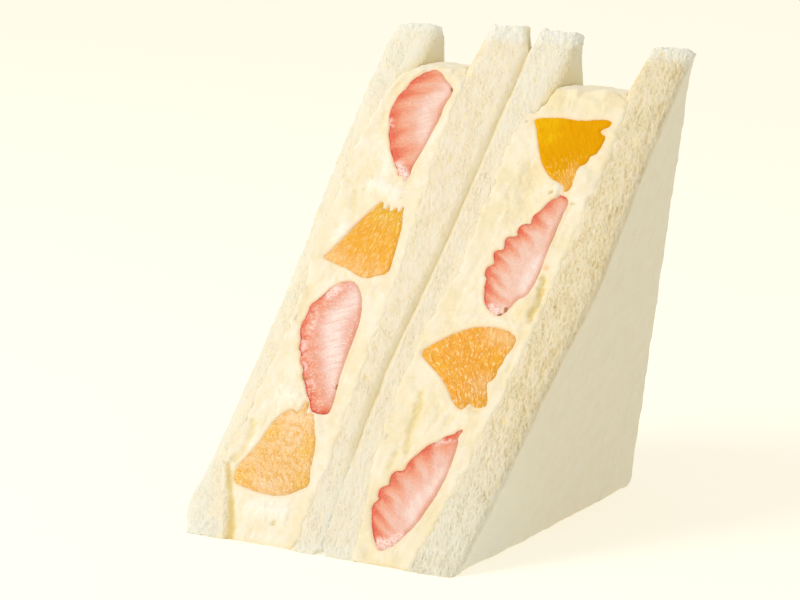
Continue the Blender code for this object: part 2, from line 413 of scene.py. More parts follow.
def in_foot_furrow(places):
    """How far each place is in the furrow between the first slice and the cream, 0 at its sides to 1."""
    reach = 0.9 + 0.8 * ramp(places[:, 1], 14, 2)
    return ramp(distance_to(places, FOOT_FURROW) + 0.3 * waves(places, 2.5, 17), reach, 0.1)


def spread_foot(places, forward):
    """Moves the foot of the cut forward, close to the floor and to the cut face."""
    places[:, 1] -= forward * ramp(places[:, 1], 3.5, 0.8) * ramp(places[:, 2], -3.0, -0.8)


GROOVE_DEEP = 0.5


def press_slice(places, normals, name, look):
    """Moves a slice's sides to where they press on the cream and on the other half. Gives how near each place
    is to the joint between the middle slices, and how far it is in the groove along that joint."""
    free_side = -look["cream"]
    places[:, 0] += ramp(places[:, 1], 134, 128) * squared_edge(places, normals, look["cream"])
    if name != "bread_4":
        places[:, 0] += ramp(places[:, 1], 141, 138) * squared_edge(places, normals, free_side)
    for side, shifts in zip((-1, 1), look["sides"]):
        move_side(places, side, shifts)
    if "pressed_to" not in look:
        return np.zeros(len(places)), np.zeros(len(places))
    press_to(places, free_side, look["pressed_to"])
    past = free_side * (places[:, 0] - np.interp(places[:, 1], *zip(*look["pressed_to"])))
    joint = ramp(np.abs(past) + 0.3 * waves(places, 5.0, 13), look["groove"], 0)
    groove = ramp(places[:, 1], 14, 34) * joint
    sunk = GROOVE_DEEP * groove + 0.3 * ramp(past, 0, OVERLAP) * ramp(places[:, 1], 10, 34)
    places[:, 2] -= sunk * ramp(places[:, 2], -3.5, -0.8)
    return joint, groove


def round_slice(places, name, look, to_cream, to_free, on_cut):
    """Rounds a slice off beside the dome of cream, along its free edge and at the floor. Gives how far each
    place is in the furrow beside the first slice's foot."""
    near_cut = ramp(places[:, 2], -6.0, -0.5)
    rounding = 1.1 * ramp(places[:, 1], 119, 129) * np.clip(1 - to_cream / 3.2, 0, 1) ** 2
    furrow = np.zeros(len(places))
    if "edge_soft" in look:
        rounding += look["edge_soft"] * np.clip(1 - to_free / 4.0, 0, 1) ** 2
        off_floor = (places[:, 1] + places[:, 2]) / math.sqrt(2)
        corner = np.clip(1 - off_floor / FOOT_HIGH, 0, 1) ** 2
        corner = corner * ramp(to_free, 5.0, 0.5) * ramp(places[:, 2], -25, -5)
        places[:, 0] += look["cream"] * look["foot_round"] * corner
    if name == "bread_1":
        places[:, 0] += at_left_foot(places)
        furrow = on_cut * in_foot_furrow(places)
        rounding += 0.8 * furrow
    places[:, 2] -= near_cut * rounding
    return furrow


def sway_slice(places, look, to_cream, to_free, joint, ragged):
    """Shapes the tip and the foot, and makes every face uneven, most where the slice is ragged."""
    tip_corner = np.maximum(ramp(to_cream, 2.6, 0.2), ramp(to_free, 2.6, 0.2))
    places[:, 1] += TIP_CORNER * tip_corner * ramp(places[:, 1], CUT_LENGTH - 2.6, CUT_LENGTH - 0.8)
    spread_foot(places, FOOT_EDGE - FOOT_DIP * joint + 0.45 * waves(places, 3.5, look["seed"] + 30))
    across = places[:, 0] - places[places[:, 1] > CUT_LENGTH - 8, 0].mean()
    places[:, 1] += look["lean"] * across * ramp(places[:, 1], CUT_LENGTH - 14, CUT_LENGTH - 4)
    for axis in range(3):
        seed = look["seed"] + axis
        sway = 0.2 * waves(places, 9.0, seed)
        sway += (0.07 + 0.25 * ragged) * waves(places, 2.4, seed + 5, 3)
        sway += 0.14 * ragged * waves(places, 0.9, seed + 15, 2)
        places[:, axis] += sway * (1 - 0.8 * joint)


def sculpt_slice(piece, name, look):
    """Presses a slice into place, rounds and frays it, opens its crumb and keeps what colours it."""
    seed, cream_side = look["seed"], look["cream"]
    mesh = piece.data
    places, normals = places_of(mesh)
    on_cut = ramp(places[:, 2], -1.4, -0.4)
    on_side = ramp(np.abs(normals[:, 0]), 0.5, 0.9) * (1 - on_cut)
    off_side = (1 - on_cut) * (1 - on_side)
    below_tip = ramp(places[:, 1], 134, 128)
    near_tip = ramp(places[:, 1], CUT_LENGTH - TIP, CUT_LENGTH - 3)
    near_tip = np.maximum(near_tip, 0.8 * ramp(places[:, 1], 9, 0))
    joint, groove = press_slice(places, normals, name, look)
    to_cream = cream_side * (edge_of_cut(places, cream_side) - places[:, 0])
    to_free = -cream_side * (edge_of_cut(places, -cream_side) - places[:, 0])
    beside_dome = ramp(places[:, 1], 119, 129)
    ragged = near_tip.copy()
    if name == "bread_1":
        ragged = np.maximum(ragged, ramp(to_free, 1.6, 0.2) * ramp(places[:, 1], 40, 75))
    furrow = round_slice(places, name, look, to_cream, to_free, on_cut)
    sway_slice(places, look, to_cream, to_free, joint, ragged)

    bent = places + 0.25 * np.stack([waves(places, 1.4, seed + 20 + axis) for axis in range(3)], axis=1)
    small = open_cells(bent, np.array([0.5, 1.5, 0.7]), seed, look["open"])
    large = open_cells(bent, np.array([0.95, 2.8, 1.2]), seed + 3, 0.4 * look["open"])
    sparse = open_cells(places, np.array([1.2, 2.0, 1.2]), seed + 7, 0.05)
    olive_streaks = open_cells(bent, np.array([0.9, 2.6, 1.2]), seed + 8, 0.05)
    fluff = waves(leaning(places), np.array([0.5, 1.7, 0.6]), seed + 9, 3)
    creamy = on_cut * ramp(to_cream + 1.1 * waves(places, 3.0, seed + 11), look["smear"], 0.3) * below_tip
    shut = look["edge_shut"] * ramp(to_free, 1.6, 0.2) if "edge_shut" in look else 0.8 * joint
    rough = (on_cut + 0.35 * off_side) * (1 - 0.85 * creamy) * (1 - shut)
    height = (0.03 + look["fluff"] * rough) * fluff - look["deep"] * rough * (small + 1.2 * large)
    height -= 0.1 * on_side * sparse
    places += normals * height[:, None]
    places[:, 2] = np.minimum(places[:, 2], CUT_PROUD)
    put(mesh, places)

    # Painted shade on the inner face above the cream and in the recess beside the dome, with olive streaks on
    # the cut
    inner_face = ramp(cream_side * normals[:, 0], 0.3, 0.8) * (1 - on_cut) * ramp(places[:, 1], 144, 128)
    by_dome = beside_dome * ramp(to_cream, 2.4, 0.0) * ramp(places[:, 1], 145, 133)
    shade_and_streaks = 0.8 * np.maximum(inner_face, 0.6 * by_dome) + 0.45 * on_cut * olive_streaks
    # Painted shade in the open pores and in the valleys of the fluff
    hollow_shade = np.maximum(0.8 * small, large) + 0.45 * np.clip(-fluff, 0, 1)
    # Painted cool light, where light shines through the thin crumb at the tips and the foot
    cool_backlight = near_tip * (1 - 0.5 * on_side) * (0.85 + 0.15 * fluff)
    for end, start, full in (("backlight_tip", 95, 135), ("backlight_foot", 50, 5)):
        cool_backlight = np.maximum(cool_backlight, look[end] * ramp(places[:, 1], start, full))
    keep_on(mesh, "pore", np.clip(rough * hollow_shade + 0.3 * on_side * sparse, 0, 1))
    keep_on(mesh, "open_crumb", on_cut * (1 - shut) + 0.4 * off_side)
    keep_on(mesh, "cool_backlight", np.clip(cool_backlight, 0, 1))
    keep_on(mesh, "creamy", 0.85 * creamy)
    keep_on(mesh, "shade_and_streaks", np.clip(shade_and_streaks, 0, 1))
    # Painted shade in the furrow at the foot and in the groove along the joint
    keep_on(mesh, "furrow", np.maximum(furrow, 0.45 * groove))


for name, look in SLICES.items():
    crumb = crumb_material("crumb_" + name[-1], look["walls"], look["pores"])
    bread = evenly_netted(name + "_crumb", copy_of(name), BREAD_NET, at_cut=1.6, cuts=2)
    sculpt_slice(bread, name, look)
    back_in_place(bread, crumb, name)


# Fruit: strawberry halves cut lengthwise and wedges of tinned yellow peach, cut through with the sandwich, so
# that they lie flush in its cut face. Their outlines on it are in millimetres: a berry's skin from its stem
# end to its tip and its flat side back up, and a wedge from its stone end round.

# Each berry: its depth, the colour of its core and how frosted it is, the pitch, start and slant of the lobes
# under its skin and how striped they are, how far in from the skin its pale heart lies, how wide and how pale
# that is, and how far the red reaches in. Then where it has seeds, frosted juice and torn flesh.
BERRIES = {
    "strawberry_left_upper": {
        "skin": (
            (-24.2, 128.2), (-25.2, 126.9), (-26.4, 125.2), (-26.9, 123.0), (-27.9, 121.2), (-28.2, 118.8),
            (-28.4, 116.2), (-27.6, 113.6), (-26.6, 111.4), (-26.2, 109.4), (-25.0, 107.4), (-24.0, 105.0),
            (-22.8, 103.6), (-21.6, 101.4), (-20.0, 100.0), (-19.6, 98.6), (-18.0, 98.8), (-17.0, 96.8),
        ),
        "flat": (
            (-16.6, 99.4), (-17.0, 101.2), (-16.3, 106.0), (-15.9, 112.0), (-15.5, 116.0), (-15.9, 119.0),
            (-15.1, 123.6), (-16.4, 125.2), (-18.2, 126.6), (-19.8, 128.4), (-21.8, 129.3),
        ),
        "stem": (-19.0, 129.0), "tip": (-17.5, 97.0), "deep": 9.5, "core": (0.78, 0.43, 0.31), "frost": 0.2,
        "lobes": (5.3, 1.0, 0.45), "stripes": 0.8, "heart": (8.6, 3.6, 0.65), "reach": 5.2,
        "seeds": ((-24.4, 127.6), (-15.5, 123.6), (-15.8, 124.2)),
        "frosted": ((-27.4, 113.4), (-26.4, 111.4)), "torn": ((-20.4, 101.2), (-18.6, 99.6), (-17.4, 98.0)),
    },
    "strawberry_left_lower": {
        "skin": (
            (-23.4, 67.0), (-24.4, 64.6), (-25.4, 62.9), (-26.6, 61.6), (-26.1, 59.2), (-26.5, 56.6),
            (-26.1, 54.2), (-25.0, 52.4), (-24.8, 50.0), (-23.4, 48.8), (-23.0, 46.4), (-21.4, 45.2),
            (-20.9, 42.8), (-19.4, 41.2), (-18.0, 38.6), (-16.8, 37.4), (-15.6, 34.8), (-13.2, 34.2),
            (-11.0, 34.5),
        ),
        "flat": (
            (-10.9, 36.6), (-11.4, 40.0), (-12.2, 45.0), (-12.6, 50.0), (-12.9, 56.0), (-13.5, 61.0),
            (-15.2, 65.6), (-17.8, 69.0), (-20.6, 69.4),
        ),
        "stem": (-17.5, 69.0), "tip": (-12.5, 34.0), "deep": 11.5, "core": (0.76, 0.38, 0.285), "frost": 0.6,
        "lobes": (3.8, 2.0, 0.3), "stripes": 0.35, "heart": (7.4, 4.2, 0.95), "reach": 3.0,
        "seeds": ((-19.9, 42.4), (-11.7, 42.0), (-11.6, 41.4)),
        "frosted": ((-24.8, 60.0), (-23.2, 56.5), (-24.0, 52.0), (-21.6, 47.0), (-17.5, 40.5)),
        "torn": ((-21.8, 66.6), (-22.6, 64.8)),
    },
    "strawberry_right_upper": {
        "skin": (
            (14.6, 66.9), (13.4, 68.0), (12.5, 69.6), (11.8, 71.6), (11.4, 73.6), (11.3, 74.8), (10.4, 75.4),
            (10.2, 77.0), (10.6, 78.3), (11.6, 78.9), (10.9, 80.2), (10.3, 81.6), (10.7, 82.6), (12.3, 82.8),
            (12.0, 84.2), (11.6, 85.6), (12.3, 86.6), (14.2, 86.8), (13.6, 88.0), (13.6, 89.4), (14.4, 90.3),
            (16.2, 90.6), (15.7, 91.8), (15.9, 93.2), (17.0, 94.4), (17.6, 96.2), (18.8, 98.0), (20.4, 99.4),
            (22.0, 98.6),
        ),
        "flat": (
            (22.8, 96.8), (22.4, 93.6), (22.3, 88.0), (22.6, 82.0), (22.8, 76.0), (22.0, 71.6), (20.2, 70.4),
            (19.4, 68.0), (18.6, 66.0), (17.2, 65.4), (16.0, 66.0),
        ),
        "stem": (20.0, 65.0), "tip": (21.0, 99.0), "deep": 11.5, "core": (0.81, 0.53, 0.42), "frost": 0.2,
        "lobes": (3.95, 1.8, 0.8), "stripes": 1.0, "heart": (9.6, 2.6, 0.85), "reach": 3.4,
        "seeds": (
            (11.2, 74.8), (18.6, 67.6), (18.8, 67.1), (17.6, 65.7), (17.9, 65.9), (15.6, 91.0), (13.9, 87.4),
        ),
        "frosted": ((10.4, 78.4), (10.1, 76.4)), "torn": ((15.4, 67.2), (17.0, 66.6)),
    },
    "strawberry_right_lower": {
        "skin": (
            (12.4, 4.6), (10.8, 6.6), (9.6, 8.8), (8.6, 10.8), (7.9, 12.8), (7.5, 14.4), (7.8, 15.6),
            (8.4, 16.0), (7.7, 16.8), (7.5, 18.2), (8.0, 19.4), (9.2, 19.8), (8.8, 21.0), (8.8, 22.6),
            (9.4, 23.7), (11.2, 23.9), (11.2, 25.4), (11.6, 27.0), (12.6, 28.6), (13.8, 30.4), (14.6, 31.8),
            (16.0, 32.2), (17.0, 33.8), (18.6, 34.6), (19.6, 36.2), (20.6, 36.0),
        ),
        "flat": (
            (20.0, 34.2), (20.6, 32.6), (20.9, 29.0), (21.2, 25.0), (20.7, 20.0), (19.9, 16.0), (19.0, 11.6),
            (17.4, 8.4), (16.4, 6.0), (14.4, 4.2), (13.2, 3.9),
        ),
        "stem": (15.0, 4.0), "tip": (20.2, 35.4), "deep": 7.3, "core": (0.80, 0.48, 0.38), "frost": 0.2,
        "lobes": (4.3, 2.0, 0.8), "stripes": 1.0, "heart": (8.6, 2.6, 0.68), "reach": 3.9,
        "seeds": ((9.0, 20.9), (9.0, 20.4)),
        "frosted": ((14.8, 31.0), (16.4, 32.0), (19.6, 33.8)),
        "torn": ((12.6, 5.6), (14.6, 5.4), (16.4, 7.6)),
    },
}

# Each wedge: the middle that its fibres run out from, where the stone was, and the colours of its flesh, its
# rich patches and its golden and pale places. Then how grainy it is, the colour of its flecks, which are pale
# fibres with painted highlights, and their share away from the stone and beside it, how short its fibres are,
# and how strong its blotches, its pale specks with painted glints, and its gloss.
PEACHES = {
    "peach_left_upper": {
        "outline": (
            (-20.2, 91.9), (-19.2, 88.7), (-18.3, 91.2), (-17.5, 88.3), (-16.4, 90.6), (-15.6, 88.2),
            (-14.9, 91.4), (-14.2, 88.0), (-13.1, 85.0), (-12.4, 80.0), (-11.9, 76.0), (-11.6, 72.4),
            (-14.0, 71.5), (-16.2, 70.3), (-19.0, 71.0), (-21.4, 72.2), (-25.0, 73.2), (-28.8, 74.2),
            (-27.3, 76.6), (-25.6, 80.2), (-24.0, 84.6), (-22.3, 88.4),
        ),
        "middle": (-16.9, 96.0), "stone": (-17.5, 92.0), "flesh": (0.84, 0.42, 0.035),
        "rich": (0.79, 0.34, 0.008),
        "golden": ((-14.2, 86.0), (-18.5, 88.0)), "golden_flesh": (0.85, 0.50, 0.035),
        "pale": ((-25.5, 75.0), (-20.0, 73.0), (-15.5, 72.0)), "pale_flesh": (0.87, 0.55, 0.25), "grain": 0.7,
        "fleck_and_glint_colour": (0.95, 0.72, 0.36), "flecks": (0.45, 1.0),
        "fibres": 0.3, "blotches": 0.6, "specks": 0.15, "gloss": 0.2,
    },
    "peach_left_lower": {
        "outline": (
            (-20.2, 34.6), (-18.9, 34.4), (-18.0, 34.0), (-17.5, 37.6), (-16.5, 36.9), (-16.0, 33.6),
            (-15.0, 34.6), (-13.8, 33.6), (-12.5, 30.6), (-11.2, 27.6), (-10.2, 24.0), (-9.5, 20.0),
            (-8.1, 16.6), (-10.0, 15.0), (-12.2, 13.3), (-15.0, 12.6), (-18.5, 12.8), (-22.0, 13.4),
            (-25.4, 14.2), (-26.5, 16.6), (-26.2, 19.0), (-24.9, 22.0), (-23.7, 26.0), (-23.1, 29.4),
            (-22.2, 32.4),
        ),
        "middle": (-1.0, 3.0), "stone": (-17.0, 36.5), "flesh": (0.87, 0.56, 0.25),
        "rich": (0.80, 0.41, 0.055), "golden": ((-21.6, 28.6), (-12.8, 25.6), (-25.0, 16.0), (-9.6, 17.0)),
        "golden_flesh": (0.85, 0.49, 0.06), "pale": ((-18.6, 32.0), (-17.0, 27.0), (-16.5, 14.5)),
        "pale_flesh": (0.88, 0.61, 0.34), "grain": 0.9,
        "fleck_and_glint_colour": (0.93, 0.74, 0.50), "flecks": (0.4, 0.7),
        "fibres": 0.6, "blotches": 0.9, "specks": 0.75, "gloss": 0.2,
    },
    "peach_right_upper": {
        "outline": (
            (20.6, 99.6), (20.0, 101.4), (18.6, 102.3), (16.6, 102.9), (14.9, 104.4), (12.6, 107.0),
            (10.6, 110.4), (8.9, 114.0), (7.5, 116.8), (6.3, 118.6), (9.5, 119.5), (13.5, 119.9),
            (18.0, 119.6), (20.6, 120.5), (24.8, 120.8), (25.0, 119.0), (23.0, 117.8), (23.4, 116.8),
            (25.0, 116.4), (24.7, 112.0), (24.5, 110.4), (23.3, 110.4), (23.4, 108.6), (21.2, 106.8),
            (22.0, 104.2), (22.4, 101.8),
        ),
        "middle": (26.0, 94.0), "stone": (21.0, 101.5), "flesh": (0.755, 0.355, 0.003),
        "rich": (0.71, 0.295, 0.001), "golden": ((8.0, 117.5), (11.5, 114.5), (11.0, 118.5)),
        "golden_flesh": (0.80, 0.46, 0.006), "pale": ((21.6, 104.0), (21.8, 102.0)),
        "pale_flesh": (0.86, 0.47, 0.12), "grain": 0.3,
        "fleck_and_glint_colour": (0.92, 0.60, 0.18), "flecks": (0.02, 1.0),
        "fibres": 0.35, "blotches": 0.3, "specks": 0.0, "gloss": 0.0,
    },
    "peach_right_lower": {
        "outline": (
            (19.3, 42.9), (18.7, 41.4), (17.9, 40.7), (16.6, 41.5), (15.0, 43.0), (13.2, 45.4), (10.4, 48.2),
            (7.0, 50.6), (3.6, 53.2), (4.4, 55.0), (6.8, 57.4), (9.4, 59.7), (11.6, 61.2), (14.4, 62.3),
            (17.6, 62.8), (20.8, 62.4), (23.9, 60.9), (23.7, 58.0), (22.8, 55.4), (22.9, 53.6), (22.4, 52.4),
            (22.7, 50.4), (22.0, 48.8), (21.2, 48.6), (22.5, 45.4), (23.6, 42.9), (21.8, 41.8), (20.3, 42.1),
        ),
        "middle": (25.5, 32.0), "stone": (20.0, 41.5), "flesh": (0.83, 0.385, 0.03),
        "rich": (0.78, 0.305, 0.005), "golden": ((6.0, 54.0), (9.5, 50.5), (21.6, 54.0), (22.4, 43.4)),
        "golden_flesh": (0.83, 0.41, 0.012), "pale": ((22.0, 60.0), (18.5, 61.0), (20.6, 47.6)),
        "pale_flesh": (0.87, 0.53, 0.21), "grain": 0.9,
        "fleck_and_glint_colour": (0.95, 0.72, 0.36), "flecks": (0.6, 1.0),
        "fibres": 0.4, "blotches": 0.7, "specks": 0.15, "gloss": 0.25,
    },
}
PEACH_DEEP = 11.5
FRUIT_NET = 0.3
FRUIT_PROUD = 0.12
RIM_SUNK = 0.22
BACK_RINGS = 5
BACK_TURN = math.radians(78)


def within(places, outline):
    """Which places lie inside an outline on the cut face, seen straight on."""
    inside = np.zeros(len(places), bool)
    corners = np.array(outline, float)
    for (x0, y0), (x1, y1) in zip(corners, np.roll(corners, 1, axis=0)):
        crosses = (y0 > places[:, 1]) != (y1 > places[:, 1])
        with np.errstate(divide="ignore", invalid="ignore"):
            at = x0 + (places[:, 1] - y0) / (y1 - y0) * (x1 - x0)
        inside ^= crosses & (places[:, 0] < at)
    return inside


def ring_of(points):
    """The points with the first one again at the end, as a line that closes."""
    return np.vstack([points, points[:1]])


def nearest_of(places, spots):
    """How far each place lies from the nearest of some spots on the cut face."""
    return np.min([distance_to(places, [spot]) for spot in spots], axis=0)


def softened(outline):
    """The outline with its corners cut off."""
    points = np.array(outline, float)
    after = np.roll(points, -1, axis=0)
    return np.stack([0.75 * points + 0.25 * after, 0.25 * points + 0.75 * after], axis=1).reshape(-1, 2)


def sink_rim(places, outline):
    """Lowers the rim of a cut fruit a little, so that the cream closes round it."""
    to_rim = distance_to(places, ring_of(softened(outline)))
    places[:, 2] -= RIM_SUNK * ramp(to_rim, 0.9, 0.0) * ramp(places[:, 2], -0.5, -0.1)


def cut_fruit(name, outline, deep):
    """A piece of fruit: its cut outline, with a back that rounds off behind it."""
    bm = bmesh.new()
    points = softened(outline)
    middle = Vector(points.mean(axis=0))
    rim = bm.faces.new([bm.verts.new((*point, FRUIT_PROUD)) for point in points]).edges[:]
    width = 1.0
    for ring in range(BACK_RINGS + 1):
        turn = BACK_TURN * ring / BACK_RINGS
        grown = bmesh.ops.extrude_edge_only(bm, edges=rim)["geom"]
        rim = [item for item in grown if isinstance(item, bmesh.types.BMEdge)]
        for vert in (item for item in grown if isinstance(item, bmesh.types.BMVert)):
            point = middle + (vert.co.xy - middle) * math.cos(turn) / width
            vert.co = (*point, -0.4 - deep * math.sin(turn))
        width = math.cos(turn)
    bmesh.ops.contextual_create(bm, geom=rim)
    bmesh.ops.recalc_face_normals(bm, faces=bm.faces)
    return evenly_netted(name, bm, FRUIT_NET, at_cut=0.9)


BERRY_TINTS = {"heart": (0.88, 0.73, 0.66), "salmon": (0.78, 0.29, 0.155), "red": (0.69, 0.09, 0.03)}
BERRY_JUICE = (0.82, 0.44, 0.38)
BERRY_FROST = (0.89, 0.71, 0.63)
BERRY_SKIN = {"rim": (0.50, 0.035, 0.03), "seed": (0.42, 0.17, 0.05)}


def berry_material(name, berry):
    """Strawberry flesh: red under the skin, then salmon with soft streaks, and paler at the heart."""
    material, tree, shader = new_material(name, 0.35, 0.28, 0.25, (0.35, 0.18, 0.12))
    patches, grain = mottled(tree, along_cut(tree, (2.2, 2.2, 2.2)), 5.5)
    flesh = tinted(tree, berry["core"], BERRY_TINTS)
    frost = attribute(tree, "frost")
    flesh = mixed(tree, maths(tree, "MULTIPLY", frost, 0.6), flesh, BERRY_JUICE)
    specks = maths(tree, "MULTIPLY", between(tree, grain, 0.50, 0.70), berry["frost"])
    frost = maths(tree, "MULTIPLY", frost, between(tree, grain, 0.34, 0.60))
    flesh = mixed(tree, maths(tree, "MAXIMUM", specks, frost), flesh, BERRY_FROST)
    height = maths(tree, "ADD", grain, maths(tree, "MULTIPLY", patches, 0.8))
    coat(tree, shader, tinted(tree, flesh, BERRY_SKIN), height, 0.55, 0.3)
    return material


def sculpt_berry(piece, berry, seed):
    """Keeps how red each place is: most in the lobes under the skin, with streaks that run in from them."""
    mesh = piece.data
    places, _ = places_of(mesh)
    stem, tip = np.array(berry["stem"]), np.array(berry["tip"])
    way = (tip - stem) / np.linalg.norm(tip - stem)
    skin = distance_to(places, berry["skin"])
    flat = distance_to(places, berry["flat"])
    pitch, first, lean = berry["lobes"]
    streak = (places[:, :2] - stem) @ way + lean * skin + 0.45 * waves(places, 3.0, seed)
    fibres = waves(np.stack([streak, 0.15 * skin, 0 * skin], axis=1), 0.7, seed + 9, 3)
    band = 0.5 - 0.5 * np.cos(2 * np.pi * (streak - first) / pitch)
    band *= 0.8 + 0.3 * waves(np.stack([streak, 0 * skin, 0 * skin], axis=1), 6.0, seed + 3)
    band = 0.5 + berry["stripes"] * (band - 0.5)
    reach = berry["reach"] * (0.35 + 0.75 * band + 0.18 * fibres)
    red = ramp(skin, reach, 0.0) ** 0.9 * np.clip(0.7 + 0.4 * band + 0.15 * fibres, 0, 1)
    salmon = ramp(skin, 1.6 * reach + 2.0, 0.5 * reach)
    salmon = np.maximum(salmon, 0.5 * ramp(flat, 1.6, 0.2))
    heart_at, wide, paleness = berry["heart"]
    off_heart = np.abs(skin - heart_at - 0.6 * waves(places, 5.0, seed + 4))
    heart = ramp(off_heart, wide, 0.3) * (0.8 + 0.4 * fibres)
    rim = ramp(skin, 0.6, 0.1) * ramp(waves(places, 2.2, seed + 6, 3), -0.35, 0.3)
    frost = 0.7 * ramp(distance_to(places, berry["frosted"]), 1.6, 0.2)
    frost *= ramp(waves(places, 1.7, seed + 12), -0.2, 0.4)
    frost += ramp(distance_to(places, berry["torn"]), 2.2, 0.3)
    on_face = ramp(places[:, 2], -0.5, -0.1)
    near_tip = ramp(distance_to(places, [tip]), 5.0, 1.0)
    places[:, 2] += on_face * (0.09 * waves(places, 1.6, seed, 3) + 0.12 * (band - 0.5) * ramp(skin, 6, 1))
    sink_rim(places, berry["skin"] + berry["flat"])
    for axis in range(2):
        places[:, axis] += (0.07 + 0.25 * near_tip) * waves(places, 1.1, seed + 2 + axis, 2)
    put(mesh, places)
    keep_on(mesh, "red", red)
    keep_on(mesh, "salmon", 0.95 * salmon)
    keep_on(mesh, "heart", np.clip(paleness * heart, 0, 1))
    keep_on(mesh, "rim", 0.8 * rim)
    keep_on(mesh, "frost", np.clip(frost, 0, 1))
    keep_on(mesh, "seed", ramp(nearest_of(places, berry["seeds"]), 0.6, 0.25))


for seed, (name, berry) in enumerate(BERRIES.items()):
    half_berry = cut_fruit(name + "_flesh", berry["skin"] + berry["flat"], berry["deep"])
    sculpt_berry(half_berry, berry, 40 + seed)
    back_in_place(half_berry, berry_material("cut_" + name, berry), name)


def peach_material(name, peach):
    """Tinned peach: moist, grainy orange flesh, with pale fibres and flecks out from the stone, and painted
    glints.
    """
    material, tree, shader = new_material(name, 0.3, peach["gloss"], 0.15, (0.3, 0.2, 0.1))
    out = maths(tree, "MULTIPLY", attribute(tree, "fibre_out"), peach["fibres"])
    there = add_node(tree, "CombineXYZ", {"X": out, "Y": attribute(tree, "fibre_round")}).outputs[0]
    strands = add_node(
        tree, "TexNoise", {"Vector": there, "Scale": 2.0, "Detail": 3.0, "Roughness": 0.6, "Distortion": 0.5}
    )
    spots = add_node(tree, "TexNoise", {"Vector": there, "Scale": 0.9, "Detail": 4.0, "Distortion": 0.6})
    patches, grain = mottled(tree, along_cut(tree, (3.2, 3.2, 3.2)), 9.0)
    least, most = peach["flecks"]
    share = between(tree, patches, 0.3, 0.7, 0.0, 0.4)
    blotches = maths(tree, "MULTIPLY", between(tree, spots.outputs["Fac"], 0.46, 0.60), peach["blotches"])
    share = maths(tree, "MAXIMUM", share, blotches)
    flesh = tinted(tree, peach["flesh"], {"golden": peach["golden_flesh"], "pale": peach["pale_flesh"]})
    flesh = mixed(tree, share, flesh, peach["rich"])
    # Pale specks with painted glints
    specks = maths(tree, "MULTIPLY", between(tree, grain, 0.55, 0.64), peach["specks"])
    flesh = mixed(tree, specks, flesh, peach["fleck_and_glint_colour"])
    # Flecks along the fibres: pale fibres with painted highlights
    flecks = between(tree, strands.outputs["Fac"], 0.55, 0.61)
    share = maths(tree, "MULTIPLY", flecks, between(tree, attribute(tree, "torn"), 0.0, 1.0, least, most))
    colour = mixed(tree, share, flesh, peach["fleck_and_glint_colour"])
    height = maths(tree, "ADD", strands.outputs["Fac"], maths(tree, "MULTIPLY", spots.outputs["Fac"], 0.6))
    coat(tree, shader, colour, height, 0.65, 0.45)
    return material


def sculpt_peach(piece, peach, seed):
    """Ridges the cut face along the fibres, and keeps how they run and where the flesh changes colour."""
    mesh = piece.data
    places, _ = places_of(mesh)
    out = places[:, :2] - np.array(peach["middle"])
    radius = np.hypot(*out.T)
    # The wedge lies well away from where the angle turns over
    heading = np.arctan2(*(np.mean(peach["outline"], axis=0) - peach["middle"])[::-1])
    around = (np.arctan2(out[:, 1], out[:, 0]) - heading + np.pi) % (2 * np.pi) - np.pi
    fibre_round = around * np.median(radius)
    on_face = ramp(places[:, 2], -0.5, -0.1)
    ridges = waves(np.stack([radius * 0.3, fibre_round, places[:, 2]], axis=1), 0.8, seed, 2)
    places[:, 2] += on_face * (0.08 * waves(places, 2.5, seed) + (0.05 + 0.07 * peach["grain"]) * ridges)
    sink_rim(places, peach["outline"])
    for axis in range(2):
        places[:, axis] += (0.03 + 0.13 * peach["grain"]) * waves(places, 1.0, seed + 2 + axis, 3)
    put(mesh, places)
    patchy = 1.2 * waves(places, 2.4, seed + 5, 2)
    keep_on(mesh, "fibre_out", radius)
    keep_on(mesh, "fibre_round", fibre_round)
    keep_on(mesh, "torn", ramp(distance_to(places, [peach["stone"]]), 12, 2))
    for tint in ("golden", "pale"):
        keep_on(mesh, tint, 0.85 * ramp(nearest_of(places, peach[tint]) + patchy, 4.6, 1.0))


for seed, (name, peach) in enumerate(PEACHES.items()):
    wedge = cut_fruit(name + "_flesh", peach["outline"], PEACH_DEEP)
    sculpt_peach(wedge, peach, 60 + seed)
    back_in_place(wedge, peach_material("tinned_" + name, peach), name)


# Custard cream: whipped custard spread between the slices of each half. The knife smeared its cut face over
# the edges of the bread and left dimples, furrows and air holes in it. Soft mounds cover the top fruit.
CREAM_NET = 0.54
SPREAD = 2.5
PLUG_GROWN = 0.6
COVERS_FRUIT = 0.45
